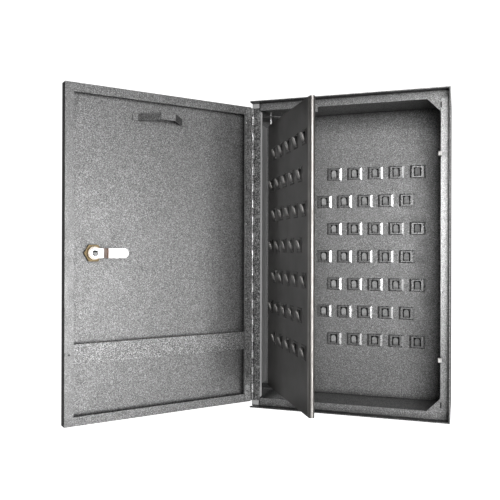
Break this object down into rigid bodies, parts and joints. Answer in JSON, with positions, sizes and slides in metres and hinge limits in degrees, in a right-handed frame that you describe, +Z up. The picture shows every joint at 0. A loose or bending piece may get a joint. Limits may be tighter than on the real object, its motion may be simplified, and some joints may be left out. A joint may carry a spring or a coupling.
{
  "type": "key cabinet",
  "caption": "Wall-hung steel key cabinet with an inset hinged door, cam lock, document pocket and a swinging inner panel of key hooks.",
  "frame": {"origin": "centre of the four wall holes, on the outer face of the back wall", "axes": "+Z up, +X to the right as seen from the front, -Y out of the front; +Y points into the wall"},
  "size_m": [0.5214, 0.3722, 0.5],
  "materials": {
    "hammer_paint": "grey hammertone enamel",
    "panel_paint": "smooth satin dark grey enamel",
    "bracket_paint": "smooth dark grey enamel",
    "edge_trim": "bright drawn steel",
    "hinge_steel": "zinc plated",
    "bright_steel": "bright steel rod",
    "screw_steel": "zinc plated",
    "cam_chrome": "bright nickel plating",
    "lock_chrome": "bright plating with a warm tint",
    "nut_plating": "yellow passivated zinc",
    "buffer_plastic": "soft pale plastic"
  },
  "bodies": {
    "cabinet": {"top_wall": "hammer_paint", "bottom_wall": "hammer_paint", "left_wall": "hammer_paint", "right_wall": "hammer_paint", "back_wall": "hammer_paint", "rim_hem_top": "hammer_paint", "rim_hem_bottom": "hammer_paint", "rim_hem_right": "hammer_paint", "front_flange_top": "hammer_paint", "front_flange_bottom": "hammer_paint", "front_flange_right": "hammer_paint", "corner_gusset_top": "hammer_paint", "corner_gusset_bottom": "hammer_paint", "hinge_post": "hammer_paint", "top_tab": "hammer_paint", "rear_hook_plate": "hammer_paint", "rear_plate_edges": "hammer_paint", "rear_hook_row_1": "hammer_paint", "rear_hook_row_2": "hammer_paint", "rear_hook_row_3": "hammer_paint", "rear_hook_row_4": "hammer_paint", "rear_hook_row_5": "hammer_paint", "rear_hook_row_6": "hammer_paint", "rear_hook_row_7": "hammer_paint", "door_buffers": "buffer_plastic", "hinge_leaf_body": "hinge_steel", "hinge_pin": "hinge_steel", "hinge_screws_body": "screw_steel", "pivot_bracket_top": "bracket_paint", "pivot_bracket_bottom": "bracket_paint", "panel_pivot_rod": "bright_steel", "panel_seat_collar": "bright_steel"},
    "door": {"door_skin": "hammer_paint", "door_stile_hinge": "hammer_paint", "door_stile_lock": "hammer_paint", "door_rail_top": "hammer_paint", "door_rail_bottom": "hammer_paint", "hinge_leaf_door": "hinge_steel", "hinge_screws_door": "screw_steel", "document_pocket_strip": "hammer_paint", "panel_keeper": "hammer_paint", "lock_body": "lock_chrome", "lock_nut": "nut_plating"},
    "swing_panel": {"panel_front_sheet": "panel_paint", "panel_back_sheet": "panel_paint", "panel_end_strips": "panel_paint", "panel_pivot_sleeve": "bracket_paint", "panel_edge_trim": "edge_trim", "panel_pivot_bushes": "hinge_steel", "panel_rear_hooks": "panel_paint", "panel_hook_row_1": "panel_paint", "panel_hook_row_2": "panel_paint", "panel_hook_row_3": "panel_paint", "panel_hook_row_4": "panel_paint", "panel_hook_row_5": "panel_paint", "panel_hook_row_6": "panel_paint", "panel_hook_row_7": "panel_paint"},
    "lock_core": {"lock_plug": "lock_chrome", "lock_cam": "cam_chrome", "cam_screw": "screw_steel"}
  },
  "joints": [
    {"name": "door_hinge", "type": "hinge", "parent": "cabinet", "child": "door", "pos_m": [-0.1545, -0.1385, 0], "axis": [0, 0, 1], "range_deg": [-5, 130]},
    {"name": "panel_pivot", "type": "hinge", "parent": "cabinet", "child": "swing_panel", "pos_m": [-0.133, -0.107, 0], "axis": [0, 0, 1], "range_deg": [-2.25, 58.5]},
    {"name": "lock_turn", "type": "hinge", "parent": "door", "child": "lock_core", "pos_m": [-0.32547, -0.33836, 0.0015], "axis": [0.766, -0.6428, 0], "range_deg": [0, 180]}
  ],
  "couplings": [
    {"joint": "panel_pivot", "follows": "door_hinge", "ratio": 0.45}
  ]
}
